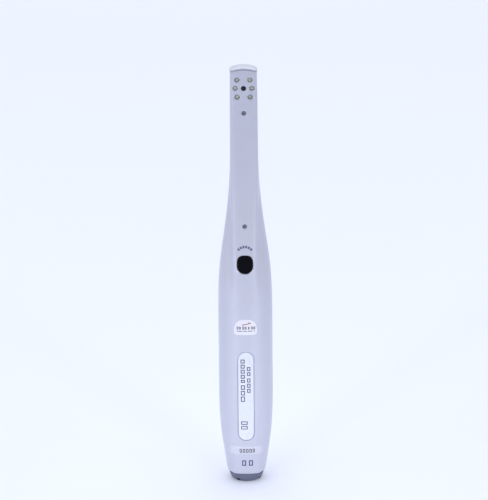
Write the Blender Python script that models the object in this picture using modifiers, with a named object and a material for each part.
"""An intraoral dental camera handpiece: a slim silver wand that stands on its tail.

The origin is the centre of the tail's underside. +Z runs along the wand to its head, the front with the
lens and the button faces -Y, and +X is to the right of someone who looks at the front. Every length
below is in millimetres, and MM turns it into metres where a piece is made.
"""

import math

import bmesh
import bpy
import numpy as np

MM = 0.001
TURNED_SIDES = 20
MERGE = 1e-7

# Housing: heights, and half sizes of the section as (height, half size) control points.
LENGTH = 205.0
SHELL_FOOT = 4.7
WALL = 1.3
PARTING_GAP = 0.3
TIP_WALL = 1.8
TIP_RIM = 0.75
TIP_LIP = 0.15
TIP_ARCH = 1.3
TIP_ARCH_FROM = 190.0
GRIP_WIDTH = ((0, 8.3), (5, 9.3), (12.5, 10.45), (25, 12.13), (42, 13.0), (66, 12.98), (92, 12.93),
              (107, 12.2), (124, 10.0), (140, 7.93), (154, 6.75), (172, 5.7), (205, 5.1))
GRIP_FRONT = ((0, 8.3), (12, 10.2), (30, 11.4), (58, 11.9), (84, 11.45), (100, 9.9), (112, 7.7),
              (127, 5.9), (147, 4.6), (166, 4.1), (205, 3.7))
GRIP_BACK = ((0, 8.3), (12, 10.3), (30, 11.5), (62, 11.9), (92, 11.6), (114, 10.4), (132, 8.7),
             (152, 6.5), (171, 4.9), (205, 3.8))
NECK_WIDTH = ((80, 6.8), (150, 6.6), (185, 6.54), (205, 6.33))
NECK_FRONT = ((80, 8.6), (94, 9.6), (104, 9.85), (116, 9.1), (130, 7.6), (147, 6.0), (166, 5.0),
              (205, 4.4))
NECK_BACK = ((80, 8.0), (102, 9.2), (122, 8.9), (140, 7.4), (160, 5.6), (181, 4.6), (205, 4.2))
GRIP_ROUNDNESS = ((0, 2.0), (30, 2.3), (205, 2.3))
NECK_ROUNDNESS = 6.0
BLEND = 20.0
STATIONS = (7, 10, 14, 19, 25, 32, 41, 51, 62, 74, 85, 94, 101, 107, 113, 119, 125, 131, 137, 144, 152,
            162, 174, 187, 196, 200)
HALF_SECTION_SIDES = 16

# Head: a lens in the middle of six LEDs, as (name, side, height).
LENS_HEIGHT = 195.2
LENS_HOLE = 1.3
LED_HOLE = 1.25
LED_RADIUS = 1.0
LEDS = (("upper", 3.03, 199.25), ("middle", 3.93, 195.3), ("lower", 3.05, 191.1))
LED_BOARD_FACE = -1.6
LED_BOARD_BACK = -0.9
SENSOR_BOARD_FACE = 1.35
SENSOR_BOARD_BACK = 1.95

# Fasteners of the housing and of the board.
SHELL_SCREWS = (("upper", 183.3), ("lower", 129.0))
SCREW_HEAD = 1.2
SCREW_SHANK = 0.7
BOSS_RADIUS = 1.9
BOARD_SCREWS = (("upper", 97.0), ("lower", 35.0))
POST_RADIUS = 2.3

# Main board, between its front and back faces.
BOARD_FRONT = -1.5
BOARD_BACK = -0.3
BOARD_WIDTH = 16.0
BOARD_FOOT = 27.0
BOARD_TOP = 117.0
CLEARANCE = 0.3

# Freeze button and its switch.
BUTTON_HEIGHT = 110.55
BUTTON_HALF_WIDTH = 3.7
BUTTON_HALF_LENGTH = 4.35
BUTTON_GAP = 0.25
BUTTON_PROUD = 0.7
BUTTON_FLANGE = 0.9
BUTTON_BACK = -6.6
FLANGE_THICKNESS = 0.8
SWITCH_FRONT = -5.0
SWITCH_SIDE = 6.0
PLUNGER_RADIUS = 1.6

# Name plate and stickers on the front of the grip.
PLATE_HALF_WIDTH = 3.8
PLATE_FOOT = 22.7
PLATE_TOP = 67.7
PLATE_RECESS = 0.75
PLATE_THICKNESS = 0.4
STICKER_THICKNESS = 0.12
STICKER_GAP = 0.1
SEAL_HALF_WIDTH = 5.6
SEAL_FOOT = 76.4
SEAL_RISE = 7.4
SERIAL_HALF_WIDTH = 7.8
SERIAL_FOOT = 15.2
SERIAL_TOP = 19.2

# Tail: end cap and round cable socket.
CAP_TOP = 4.4
CAP_SPIGOT = 7.1
CAP_SPIGOT_TOP = 11.5
SOCKET_BORE = 5.3
SOCKET_OUTER = 5.0
SOCKET_INNER = 4.45
SOCKET_RIM = 0.6
SOCKET_FLOOR = 4.8
SOCKET_TOP = 9.0
CONTACT_CIRCLE = 2.3
CONTACT_RADIUS = 0.45
CONTACT_TOP = 10.5
CONTACT_COUNT = 6
NOTCH_WIDTH = 1.7
NOTCH_TURN = 58
WIRE_RADIUS = 0.5


def clear_scene():
    for old in list(bpy.data.objects):
        bpy.data.objects.remove(old)


def collection(name):
    made = bpy.data.collections.new(name)
    bpy.context.scene.collection.children.link(made)
    return made


def material(name, color, roughness, metallic=0.0, alpha=1.0):
    made = bpy.data.materials.new(name)
    made.use_nodes = True
    made.diffuse_color = (*color, alpha)
    shader = made.node_tree.nodes["Principled BSDF"]
    shader.inputs["Base Color"].default_value = (*color, 1.0)
    shader.inputs["Roughness"].default_value = roughness
    shader.inputs["Metallic"].default_value = metallic
    shader.inputs["Alpha"].default_value = alpha
    return made


def smooth_curve(points):
    """A natural cubic spline through (height, value) points, as a function of height."""
    x, y = np.array(points, float).T
    step = np.diff(x)
    slope = np.diff(y) / step
    system = np.eye(len(x))
    right = np.zeros(len(x))
    for i in range(1, len(x) - 1):
        system[i, i - 1:i + 2] = step[i - 1], 2 * (step[i - 1] + step[i]), step[i]
        right[i] = 6 * (slope[i] - slope[i - 1])
    bend = np.linalg.solve(system, right)

    def value(at):
        at = min(max(at, x[0]), x[-1])
        i = min(max(int(np.searchsorted(x, at)) - 1, 0), len(x) - 2)
        low, high = at - x[i], x[i + 1] - at
        curve = (bend[i] * high**3 + bend[i + 1] * low**3) / (6 * step[i])
        curve += (y[i] / step[i] - bend[i] * step[i] / 6) * high
        return curve + (y[i + 1] / step[i] - bend[i + 1] * step[i] / 6) * low

    return value


grip_width, grip_front, grip_back = map(smooth_curve, (GRIP_WIDTH, GRIP_FRONT, GRIP_BACK))
neck_width, neck_front, neck_back = map(smooth_curve, (NECK_WIDTH, NECK_FRONT, NECK_BACK))


def rounded(angle, half_width, front, back, roundness):
    """Radius at an angle from +X towards +Y of an ellipse (roundness 2) or rounded rectangle (more)."""
    across, along = np.cos(angle), np.sin(angle)
    depth = np.where(along < 0, front, back)
    return (abs(across / half_width)**roundness + abs(along / depth)**roundness)**(-1 / roundness)


def section(angles, height):
    """Points (x, y) of the housing's outline at a height: the grip's oval joined to the neck's box."""
    roundness = np.interp(height, *np.array(GRIP_ROUNDNESS).T)
    grip = rounded(angles, grip_width(height), grip_front(height), grip_back(height), roundness)
    neck = rounded(angles, neck_width(height), neck_front(height), neck_back(height), NECK_ROUNDNESS)
    radius = (grip**BLEND + neck**BLEND)**(1 / BLEND)
    return radius * np.cos(angles), radius * np.sin(angles)


def arched(x, height):
    """The height of a point near the tip, which is arched from side to side."""
    share = max(0.0, (height - TIP_ARCH_FROM) / (LENGTH - TIP_ARCH_FROM))
    return height - TIP_ARCH * share**2 * (x / NECK_WIDTH[-1][1])**2


def front_face(x, height):
    """The y of the housing's front at this side and height."""
    xs, ys = section(np.radians(np.linspace(180, 360, 181)), height)
    return float(np.interp(x, xs, ys))


def add(name, mesh, paint, home, location=(0, 0, 0), facing_front=False):
    """An object in its collection; facing_front turns its local +Z to face -Y."""
    made = bpy.data.objects.new(name, mesh)
    home.objects.link(made)
    made.location = [value * MM for value in location]
    if facing_front:
        made.rotation_euler = (math.pi / 2, 0, 0)
    if paint:
        mesh.materials.append(paint)
    if home == cutters:
        made.hide_render = True
        made.display_type = "WIRE"
    return made


def mesh_of(name, shape):
    made = bpy.data.meshes.new(name)
    shape.to_mesh(made)
    shape.free()
    return made


def box(name, low, high, paint, home, bevel=0.0):
    """A box between two corners, with its upright and top edges rounded by a Bevel."""
    low, high = np.array(low, float), np.array(high, float)
    shape = bmesh.new()
    bmesh.ops.create_cube(shape, size=1.0)
    bmesh.ops.scale(shape, vec=tuple((high - low) * MM), verts=shape.verts)
    made = add(name, mesh_of(name, shape), paint, home, (low + high) / 2)
    if bevel:
        rounding = made.modifiers.new("rounded edges", "BEVEL")
        rounding.width = bevel * MM
        rounding.segments = 1
    return made


def turned(name, profile, location, paint, home, facing_front=False, sides=TURNED_SIDES):
    """A turned piece: a (radius, height) profile, run down its outer side, with a Screw modifier."""
    shape = bmesh.new()
    points = [shape.verts.new((radius * MM, 0, height * MM)) for radius, height in profile]
    for upper, lower in zip(points, points[1:]):
        shape.edges.new((upper, lower))
    if profile[0][0] > 0:
        shape.edges.new((points[-1], points[0]))
    mesh = mesh_of(name, shape)
    made = add(name, mesh, paint, home, location, facing_front)
    turning = made.modifiers.new("turned", "SCREW")
    turning.steps = turning.render_steps = sides
    turning.use_merge_vertices = True
    turning.merge_threshold = MERGE
    turning.use_smooth_shade = True
    return made


def cylinder(name, radius, low, high, location, home, facing_front=False):
    """A plain round bar or hole between two heights along its axis."""
    profile = [(0, high), (radius, high), (radius, low), (0, low)]
    return turned(name, profile, location, None, home, facing_front)


def boolean(target, other, operation="DIFFERENCE"):
    step = target.modifiers.new(other.name, "BOOLEAN")
    step.operation = operation
    step.solver = "EXACT"
    step.object = other


def grid(name, rows, closed=False):
    """A mesh of quads between rows of points; closed joins each row's last point to its first."""
    shape = bmesh.new()
    made = [[shape.verts.new([value * MM for value in point]) for point in row] for row in rows]
    for below, above in zip(made, made[1:]):
        steps = len(below) if closed else len(below) - 1
        for i in range(steps):
            j = (i + 1) % len(below)
            shape.faces.new((below[i], below[j], above[j], above[i]))
    return shape, made


def solidify(made, thickness, outward=False):
    wall = made.modifiers.new("wall", "SOLIDIFY")
    wall.thickness = thickness * MM
    wall.offset = 1.0 if outward else -1.0
    return wall


def half_shell(name, start, top, paint):
    """Half of the housing as an open lofted surface with a Solidify wall, from the foot to a height."""
    angles = np.radians(np.linspace(start, start + 180, HALF_SECTION_SIDES + 1))
    side = np.sign(np.sin(angles[1]))
    heights = [SHELL_FOOT, *[z for z in STATIONS if z < top - 1], top]
    rows = []
    for height in heights:
        xs, ys = section(angles, height)
        ys = side * np.maximum(side * ys, PARTING_GAP / 2)
        rows.append([(x, y, arched(x, height)) for x, y in zip(xs, ys)])
    shape, _ = grid(name, rows)
    made = add(name, mesh_of(name, shape), paint, parts)
    solidify(made, WALL)
    return made


def tip_wall():
    """The end wall: a plug inside the front half's edge, under a thin rounded rim that is a little proud."""
    angles = np.radians(np.linspace(0, 360, 2 * HALF_SECTION_SIDES, endpoint=False))
    rim = LENGTH - TIP_RIM
    plug = WALL + 3 * PARTING_GAP
    rows = []
    for height, inset in ((LENGTH - TIP_WALL, plug), (rim, plug), (rim, -TIP_LIP),
                          (LENGTH - 0.35, -TIP_LIP), (LENGTH - 0.1, 0.1), (LENGTH, 0.5)):
        xs, ys = section(angles, rim)
        scale = 1 - inset / np.hypot(xs, ys)
        rows.append([(x, y, arched(x, height)) for x, y in zip(xs * scale, ys * scale)])
    shape, made = grid("tip_wall", rows, closed=True)
    for row, turn in ((made[0], -1), (made[-1], 1)):
        centre = sum((vert.co for vert in row), made[0][0].co * 0) / len(row)
        centre.z = row[len(row) // 4].co.z
        middle = shape.verts.new(centre)
        for a, b in zip(row, row[1:] + row[:1]):
            shape.faces.new((a, b, middle)[::turn])
    return add("tip_wall", mesh_of("tip_wall", shape), None, cutters)


def patch(name, rows, inset, thickness, paint, home):
    """A thin piece that follows the front: rows of (height, half width), set in, and thickened outwards."""
    columns = np.linspace(-1, 1, 9)
    points = []
    for height, half_width in rows:
        xs = columns * half_width
        points.append([(x, front_face(x, height) + inset, height) for x in xs])
    shape, _ = grid(name, points)
    made = add(name, mesh_of(name, shape), paint, home)
    solidify(made, thickness, outward=True)
    return made


def stadium(foot, top, half_width):
    """Rows of an upright outline with round ends."""
    turn = np.radians(np.linspace(8, 90, 6))
    lower = [(foot + half_width * (1 - math.cos(a)), half_width * math.sin(a)) for a in turn]
    upper = [(top + foot - height, width) for height, width in reversed(lower)]
    middle = [(height, half_width) for height in np.linspace(lower[-1][0], upper[0][0], 6)[1:-1]]
    return lower + middle + upper


def button_outline(grow):
    """The button's rounded outline, wider across its top than its foot, as (x, z) points."""
    points = []
    for turn in np.radians(np.linspace(0, 360, 28, endpoint=False)):
        roundness = 2.8 if math.sin(turn) > 0 else 2.3
        wide = BUTTON_HALF_WIDTH + grow
        long = BUTTON_HALF_LENGTH + grow
        radius = (abs(math.cos(turn) / wide)**roundness + abs(math.sin(turn) / long)**roundness)
        radius = radius**(-1 / roundness)
        points.append((radius * math.cos(turn), radius * math.sin(turn)))
    return points


def button_loft(name, levels, paint, home):
    """A closed loft of the button's outline at (y, grow) levels, from the back to the front."""
    rows = [[(x, y, z) for x, z in button_outline(grow)] for y, grow in levels]
    shape, made = grid(name, rows, closed=True)
    shape.faces.new(made[0])
    shape.faces.new(made[-1][::-1])
    bmesh.ops.recalc_face_normals(shape, faces=shape.faces)
    return add(name, mesh_of(name, shape), paint, home, (0, 0, BUTTON_HEIGHT))


def make_shells():
    """Front and rear halves of the housing, with every opening, boss and post."""
    front = half_shell("front_shell", 180, LENGTH - TIP_RIM - PARTING_GAP, silver)
    for level, side, height in LEDS:
        for sign in (-1, 1):
            boolean(front, cylinder(f"led_hole_{level}_{sign}", LED_HOLE, 1.85, 8, (sign * side, 0, height),
                                    cutters, True))
    boolean(front, cylinder("lens_hole", LENS_HOLE, 1, 8, (0, 0, LENS_HEIGHT), cutters, True))
    for level, height in SHELL_SCREWS:
        face = -front_face(0, height)
        profile = [(0, face + 2), (SCREW_HEAD + 0.25, face + 2), (SCREW_HEAD + 0.25, face - 0.8),
                   (SCREW_SHANK + 0.25, face - 0.8), (SCREW_SHANK + 0.25, face - 4), (0, face - 4)]
        boolean(front, turned(f"shell_screw_hole_{level}", profile, (0, 0, height), None, cutters, True))
    face = front_face(0, BUTTON_HEIGHT)
    levels = ((face + 5, BUTTON_GAP), (face - 3, BUTTON_GAP))
    boolean(front, button_loft("button_hole", levels, None, cutters))
    margin = 0.15
    recess = stadium(PLATE_FOOT - margin, PLATE_TOP + margin, PLATE_HALF_WIDTH + margin)
    boolean(front, patch("plate_recess", recess, PLATE_RECESS, PLATE_RECESS + 1, None, cutters))

    rear = half_shell("rear_shell", 0, LENGTH - 0.6 * TIP_RIM, silver)
    boolean(rear, tip_wall(), "UNION")
    stands = [(f"boss_{level}", height, BOSS_RADIUS, -front_face(0, height) - WALL - CLEARANCE)
              for level, height in SHELL_SCREWS]
    stands += [(f"post_{level}", height, POST_RADIUS, -BOARD_BACK - CLEARANCE)
               for level, height in BOARD_SCREWS]
    for name, height, radius, reach in stands:
        back = float(section(np.array([math.pi / 2]), height)[1][0])
        foot = WALL / 2 - back
        bore = SCREW_SHANK + CLEARANCE
        profile = [(0, foot + WALL), (bore, foot + WALL), (bore, reach), (radius, reach), (radius, foot),
                   (0, foot)]
        boolean(rear, turned(name, profile, (0, 0, height), None, cutters, True), "UNION")


def screw(name, location, head, shank, length, paint):
    """A cross-head screw facing the front: location is the centre of its head's outer face."""
    crown = 0.12
    profile = [(0, 0), (head * 0.5, -0.02), (head, -crown), (head, -0.6), (shank, -0.62),
               (shank, 0.6 - length), (0, -length)]
    made = turned(name, profile, location, paint, parts, facing_front=True, sides=16)
    for turn in (0, 1):
        reach = (head * 0.6, 0.16) if turn else (0.16, head * 0.6)
        low = (-reach[0], location[1] - 1, location[2] - reach[1])
        high = (reach[0], location[1] + 0.35, location[2] + reach[1])
        boolean(made, box(f"{name}_slot_{turn}", low, high, None, cutters))


def make_screws():
    for level, height in SHELL_SCREWS:
        face = front_face(0, height) + 0.1
        screw(f"shell_screw_{level}", (0, face, height), SCREW_HEAD, SCREW_SHANK, 5.0, steel)
    for level, height in BOARD_SCREWS:
        face = BOARD_FRONT - CLEARANCE - 0.7
        screw(f"board_screw_{level}", (0, face, height), 1.9, SCREW_SHANK, 5.0, steel)


def make_leds():
    """Six clear domed LEDs, set just under the front, and the ring board behind them."""
    for level, side, height in LEDS:
        for word, sign in (("left", -1), ("right", 1)):
            face = -front_face(side, height) - 0.2
            dome = [(LED_RADIUS * math.sin(a), face - 0.8 * (1 - math.cos(a)))
                    for a in np.radians(np.linspace(0, 90, 5))]
            base = -LED_BOARD_FACE + CLEARANCE
            profile = dome + [(LED_RADIUS, base), (0, base)]
            turned(f"led_{level}_{word}", profile, (sign * side, 0, height), clear_plastic, parts, True, 16)
    low = (-4.8, LED_BOARD_FACE, LENS_HEIGHT - 6.3)
    high = (4.8, LED_BOARD_BACK, LENS_HEIGHT + 6.3)
    board = box("led_board", low, high, board_green, parts)
    boolean(board, cylinder("led_board_hole", 2.1, -3, 5, (0, 0, LENS_HEIGHT), cutters, True))


def make_camera_module():
    """Window, lens in its barrel, and the image sensor in its holder on a small board."""
    centre = (0, 0, LENS_HEIGHT)
    face = -front_face(0, LENS_HEIGHT)
    turned("lens_window", [(0, face - 0.25), (1.05, face - 0.25), (1.05, face - 0.75), (0, face - 0.75)],
           centre, glass, parts, True)
    barrel = [(1.1, 2.8), (1.8, 2.8), (1.8, 0.1), (1.3, 0.1), (1.3, 1.2), (1.1, 1.2)]
    turned("lens_barrel", barrel, centre, black_plastic, parts, True)
    bulge = [(0.9 * math.sin(a), 2.0 + 0.4 * math.cos(a)) for a in np.radians(np.linspace(0, 90, 5))]
    turned("lens", bulge + [(0.9, 1.5), (0, 1.5)], centre, glass, parts, True)
    z = LENS_HEIGHT
    holder = box("sensor_holder", (-3.3, 0.2, z - 3.3), (3.3, 1.05, z + 3.3), black_plastic, parts)
    boolean(holder, box("sensor_window", (-1.8, -1, z - 1.8), (1.8, 3, z + 1.8), None, cutters))
    box("image_sensor", (-1.4, 0.4, z - 1.4), (1.4, 1.0, z + 1.4), chip_black, parts)
    box("sensor_board", (-4.3, SENSOR_BOARD_FACE, z - 5), (4.3, SENSOR_BOARD_BACK, z + 5), board_green, parts)


def make_ribbon():
    """The flat flexible cable from the sensor board down beside the screw bosses to its connector."""
    left, right = BOSS_RADIUS + 0.45, BOSS_RADIUS + 2.85
    back = SENSOR_BOARD_BACK + CLEARANCE
    bend = smooth_curve(((174, 0.1), (180, 0.75), (186, back - 0.3), (192, back)))
    heights = [112.3, 130, 150, 170, 174, 177, 180, 183, 186, 189, 192, 197]
    rows = [[(x, bend(height), height) for x in (left, right)] for height in heights]
    shape, _ = grid("neck_ribbon", rows)
    made = add("neck_ribbon", mesh_of("neck_ribbon", shape), ribbon_film, parts)
    solidify(made, 0.25)
    low = (left - 1, BOARD_BACK + CLEARANCE, 107.8)
    box("ribbon_connector", low, (right + 1, 1.6, 112.0), chip_black, parts)


def make_board():
    """The main board with its chips, on two posts of the rear shell."""
    low = (-BOARD_WIDTH / 2, BOARD_FRONT, BOARD_FOOT)
    high = (BOARD_WIDTH / 2, BOARD_BACK, BOARD_TOP)
    board = box("main_board", low, high, board_green, parts)
    for level, height in BOARD_SCREWS:
        bore = SCREW_SHANK + CLEARANCE
        boolean(board, cylinder(f"board_hole_{level}", bore, -3, 5, (0, 0, height), cutters, True))
    back = BOARD_BACK + CLEARANCE
    front = BOARD_FRONT - CLEARANCE
    box("video_processor", (-5, back, 70), (5, back + 1.4, 80), chip_black, parts, 0.2)
    box("memory_chip", (-3.5, back, 56), (3.5, back + 1.1, 61), chip_black, parts, 0.2)
    box("crystal", (-2.5, back, 64), (2.5, back + 1.5, 66.4), steel, parts, 0.4)
    box("voltage_regulator", (-6.5, back, 43), (0, back + 1.6, 46.5), chip_black, parts, 0.2)
    can = [(0, 5.4 - front), (1.7, 5.4 - front), (2, 5.1 - front), (2, -front), (0, -front)]
    turned("power_capacitor", can, (4.5, 0, 62), steel, parts, True, 16)


def make_button():
    """The freeze button with its inner flange, and the switch and plunger behind it."""
    face = front_face(0, BUTTON_HEIGHT)
    proud = face - BUTTON_PROUD
    flange = BUTTON_BACK - FLANGE_THICKNESS
    levels = [(BUTTON_BACK, BUTTON_FLANGE), (flange, BUTTON_FLANGE), (flange, 0), (face + 0.35, 0)]
    levels += [(proud + 0.45, -0.15), (proud + 0.2, -0.6), (proud + 0.05, -1.5), (proud, -2.6)]
    button_loft("freeze_button", levels, black_button, parts)
    half = SWITCH_SIDE / 2
    low = (-half, SWITCH_FRONT, BUTTON_HEIGHT - half)
    high = (half, BOARD_FRONT - CLEARANCE, BUTTON_HEIGHT + half)
    switch = box("tact_switch", low, high, chip_black, parts, 0.3)
    centre = (0, 0, BUTTON_HEIGHT)
    boolean(switch, cylinder("plunger_hole", PLUNGER_RADIUS + 0.3, 3.2, 8, centre, cutters, True))
    front = -BUTTON_BACK - CLEARANCE
    turned("switch_plunger", [(0, front), (PLUNGER_RADIUS - 0.3, front), (PLUNGER_RADIUS, front - 0.3),
                              (PLUNGER_RADIUS, 4), (0, 4)], centre, black_plastic, parts, True)


def make_labels():
    """The name plate in its recess, and the two stickers."""
    patch("model_plate", stadium(PLATE_FOOT, PLATE_TOP, PLATE_HALF_WIDTH),
          PLATE_RECESS - 0.2, PLATE_THICKNESS, white_plate, parts)
    rows = [(SEAL_FOOT + SEAL_RISE * math.sin(a), max(SEAL_HALF_WIDTH * math.cos(a), 0.8))
            for a in np.radians(np.linspace(0, 88, 8))]
    patch("seal_sticker", rows, -STICKER_GAP, STICKER_THICKNESS, paper, parts)
    rows = [(height, SERIAL_HALF_WIDTH) for height in np.linspace(SERIAL_FOOT, SERIAL_TOP, 3)]
    patch("serial_sticker", rows, -STICKER_GAP, STICKER_THICKNESS, paper, parts)


def make_tail():
    """The end cap with four notches, and the round cable socket in it."""
    profile = [(CAP_SPIGOT - 0.4, CAP_SPIGOT_TOP), (CAP_SPIGOT, CAP_SPIGOT_TOP - 0.4), (CAP_SPIGOT, CAP_TOP),
               (8.45, CAP_TOP), (8.35, 3.2), (8.0, 2.0), (7.4, 0.9), (6.9, 0.3), (6.5, 0), (SOCKET_BORE, 0),
               (SOCKET_BORE, CAP_SPIGOT_TOP)]
    cap = turned("end_cap", profile, (0, 0, 0), cap_grey, parts, sides=40)
    for number in range(4):
        turn = math.radians(NOTCH_TURN + 90 * number)
        half = NOTCH_WIDTH / 2
        notch = box(f"notch_{number}", (-half, -half, -1), (half, half, 1.1), None, cutters)
        notch.location = (7.3 * MM * math.cos(turn), 7.3 * MM * math.sin(turn), 0)
        notch.rotation_euler = (0, 0, turn)
        boolean(cap, notch)
    ring = [(SOCKET_INNER, SOCKET_TOP), (SOCKET_OUTER, SOCKET_TOP), (SOCKET_OUTER, SOCKET_RIM),
            (SOCKET_INNER, SOCKET_RIM)]
    turned("socket_shell", ring, (0, 0, 0), steel, parts, sides=32)
    insulator = cylinder("socket_insulator", SOCKET_INNER - CLEARANCE, SOCKET_FLOOR, 8.4, (0, 0, 0), parts)
    insulator.data.materials.append(black_plastic)
    bore = CONTACT_RADIUS - 0.18
    contact = [(0, CONTACT_TOP), (CONTACT_RADIUS, CONTACT_TOP), (CONTACT_RADIUS, SOCKET_FLOOR + 0.2),
               (bore, SOCKET_FLOOR + 0.2), (bore, 8), (0, 8)]
    for number in range(CONTACT_COUNT):
        centre = contact_place(number)
        hole = cylinder(f"contact_hole_{number + 1}", CONTACT_RADIUS + 0.25, 0, 12, centre, cutters)
        boolean(insulator, hole)
        turned(f"socket_contact_{number + 1}", contact, centre, brass, parts, sides=12)


def contact_place(number):
    turn = math.radians(30 + 60 * number)
    return (CONTACT_CIRCLE * math.cos(turn), CONTACT_CIRCLE * math.sin(turn), 0)


def make_wires():
    """Four wires from the socket's contacts to pads on the front of the main board."""
    pad_y = BOARD_FRONT - CLEARANCE - WIRE_RADIUS
    for color, number, pad in (("red", 0, 4.5), ("white", 2, -4.5), ("green", 3, -1.6), ("black", 5, 1.6)):
        x, y, _ = contact_place(number)
        guide = ((x, y, CONTACT_TOP + CLEARANCE), (x, y, 14), ((x + pad) / 2, (y + pad_y) / 2, 18.5),
                 (pad, pad_y, 23), (pad, pad_y, 31))
        steps = np.arange(len(guide))
        route = [smooth_curve(list(zip(steps, values))) for values in zip(*guide)]
        line = bpy.data.curves.new(f"wire_{color}", "CURVE")
        line.dimensions = "3D"
        line.bevel_depth = WIRE_RADIUS * MM
        line.bevel_resolution = 1
        line.use_fill_caps = True
        spline = line.splines.new("POLY")
        stops = np.linspace(0, len(guide) - 1, 13)
        spline.points.add(len(stops) - 1)
        for point, stop in zip(spline.points, stops):
            point.co = (*[axis(stop) * MM for axis in route], 1)
        made = add(f"wire_{color}", line, None, parts)
        made.data.materials.append(wire_jackets[color])


clear_scene()
parts = collection("intraoral_camera")
cutters = collection("cutters")
silver = material("silver_shell", (0.62, 0.63, 0.70), 0.38, 0.25)
cap_grey = material("cap_grey", (0.13, 0.14, 0.20), 0.5)
black_button = material("black_button", (0.008, 0.008, 0.01), 0.15)
white_plate = material("white_plate", (0.86, 0.88, 0.94), 0.35)
paper = material("label_film", (0.82, 0.83, 0.88), 0.4)
clear_plastic = material("clear_led", (0.85, 0.88, 0.75), 0.05, alpha=0.6)
glass = material("lens_glass", (0.05, 0.05, 0.08), 0.03, alpha=0.5)
black_plastic = material("black_plastic", (0.01, 0.01, 0.012), 0.4)
board_green = material("board_green", (0.02, 0.16, 0.07), 0.45)
chip_black = material("chip_black", (0.02, 0.02, 0.022), 0.55)
steel = material("steel", (0.55, 0.55, 0.57), 0.3, 1.0)
brass = material("contact_brass", (0.75, 0.55, 0.22), 0.3, 1.0)
ribbon_film = material("ribbon_film", (0.45, 0.20, 0.04), 0.4)
wire_jackets = {
    "red": material("wire_jacket_red", (0.5, 0.02, 0.02), 0.5),
    "white": material("wire_jacket_white", (0.8, 0.8, 0.8), 0.5),
    "green": material("wire_jacket_green", (0.02, 0.3, 0.06), 0.5),
    "black": material("wire_jacket_black", (0.02, 0.02, 0.02), 0.5),
}
make_shells()
make_screws()
make_leds()
make_camera_module()
make_ribbon()
make_board()
make_button()
make_labels()
make_tail()
make_wires()
